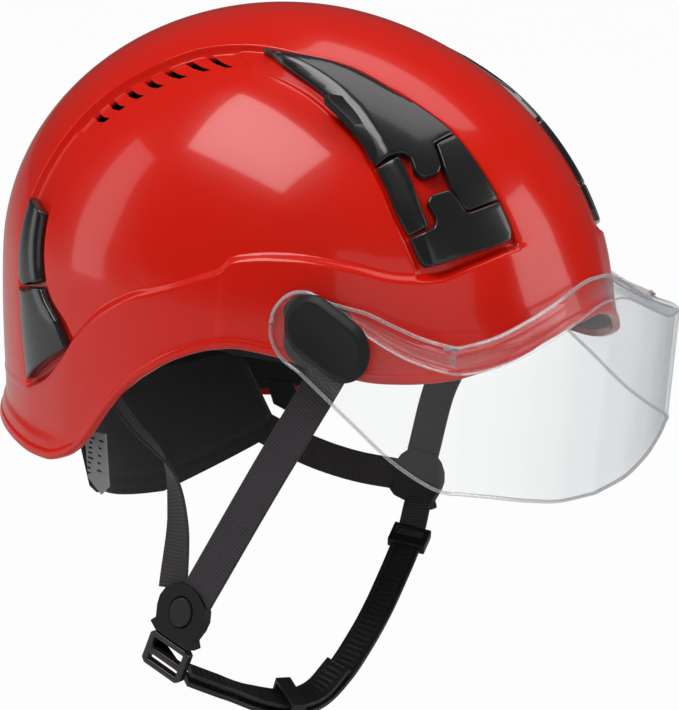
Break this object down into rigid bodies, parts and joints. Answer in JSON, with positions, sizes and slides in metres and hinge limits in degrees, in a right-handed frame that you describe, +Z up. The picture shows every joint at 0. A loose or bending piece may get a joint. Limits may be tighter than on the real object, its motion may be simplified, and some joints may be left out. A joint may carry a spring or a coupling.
{
  "type": "hard hat",
  "caption": "Climbing-style safety helmet with vented glossy shell, clear hinged visor, ratchet nape cradle and a buckled chin harness.",
  "frame": {"origin": "centre of the crown pad's underside, where the wearer's crown rests", "axes": "+X towards the wearer's left, -Y towards the front of the helmet, +Z up"},
  "size_m": [0.2148, 0.309, 0.3128],
  "materials": {
    "shell_red": "glossy",
    "gloss_black": "glossy",
    "matte_black": "matte",
    "foam_black": "matte",
    "clear": "clear",
    "webbing": "woven",
    "rubber_black": "matte",
    "steel": "brushed",
    "scale_grey": "satin",
    "pad_fabric": "padded"
  },
  "bodies": {
    "helmet": {"shell": "shell_red", "liner": "foam_black", "front_vent_blade_L": "gloss_black", "front_vent_blade_R": "gloss_black", "front_vent_block_L": "gloss_black", "front_vent_block_R": "gloss_black", "front_vent_clip_L": "gloss_black", "front_vent_clip_R": "gloss_black", "headlamp_clip_L": "gloss_black", "headlamp_clip_R": "gloss_black", "rear_vent_blade_L": "gloss_black", "rear_vent_blade_R": "gloss_black", "rear_vent_clip_L": "gloss_black", "rear_vent_clip_R": "gloss_black", "pivot_base_L": "matte_black", "pivot_base_R": "matte_black", "pivot_screw_L": "steel", "pivot_screw_R": "steel", "pivot_cap_L": "matte_black", "pivot_cap_R": "matte_black", "headband": "matte_black", "brow_pad": "pad_fabric", "crown_pad": "pad_fabric", "cradle_clip_1": "matte_black", "cradle_clip_2": "matte_black", "cradle_clip_3": "matte_black", "cradle_clip_4": "matte_black", "cradle_clip_5": "matte_black", "cradle_clip_6": "matte_black", "crown_strap_mid": "webbing", "crown_strap_front": "webbing", "crown_strap_rear": "webbing", "nape_pad": "pad_fabric", "ratchet_back": "matte_black", "ratchet_housing": "matte_black", "size_scale_R": "scale_grey", "size_scale_L": "scale_grey", "nape_hanger_L": "matte_black", "nape_hanger_R": "matte_black", "strap_anchor_front_R": "matte_black", "strap_anchor_front_L": "matte_black", "strap_front_R": "webbing", "strap_front_L": "webbing", "strap_anchor_rear_R": "matte_black", "strap_rear_R": "webbing", "strap_rear_L": "webbing", "divider_R": "matte_black", "divider_L": "matte_black", "ladder_buckle": "matte_black", "chin_strap": "rubber_black", "chin_strap_tail": "rubber_black", "keeper_loop": "rubber_black", "chin_adjuster": "matte_black"},
    "visor": {"visor": "clear"},
    "knob": {"ratchet_knob": "rubber_black", "ratchet_pinion": "matte_black"},
    "rack_right": {"rack_R": "matte_black"},
    "rack_left": {"rack_L": "matte_black"},
    "push_pad_right": {"divider_pad_R": "rubber_black"},
    "push_pad_left": {"divider_pad_L": "rubber_black"}
  },
  "joints": [
    {"name": "visor_hinge", "type": "hinge", "parent": "helmet", "child": "visor", "pos_m": [0, -0.0744, -0.074], "axis": [-1, 0, 0], "range_deg": [0, 35]},
    {"name": "knob_turn", "type": "hinge", "parent": "helmet", "child": "knob", "pos_m": [0, 0.0796, -0.172], "axis": [0, 0.9326, -0.361], "range_deg": [-75, 75]},
    {"name": "rack_right_slide", "type": "slide", "parent": "helmet", "child": "rack_right", "axis": [1, 0, 0], "range_m": [-0.0085, 0.0085]},
    {"name": "rack_left_slide", "type": "slide", "parent": "helmet", "child": "rack_left", "axis": [1, 0, 0], "range_m": [-0.0085, 0.0085]},
    {"name": "push_pad_right_slide", "type": "slide", "parent": "helmet", "child": "push_pad_right", "axis": [1, 0, 0], "range_m": [0, 0.0012]},
    {"name": "push_pad_left_slide", "type": "slide", "parent": "helmet", "child": "push_pad_left", "axis": [-1, 0, 0], "range_m": [0, 0.0012]}
  ],
  "couplings": [
    {"joint": "rack_right_slide", "follows": "knob_turn", "m_per_rad": 0.006},
    {"joint": "rack_left_slide", "follows": "knob_turn", "m_per_rad": -0.006}
  ]
}
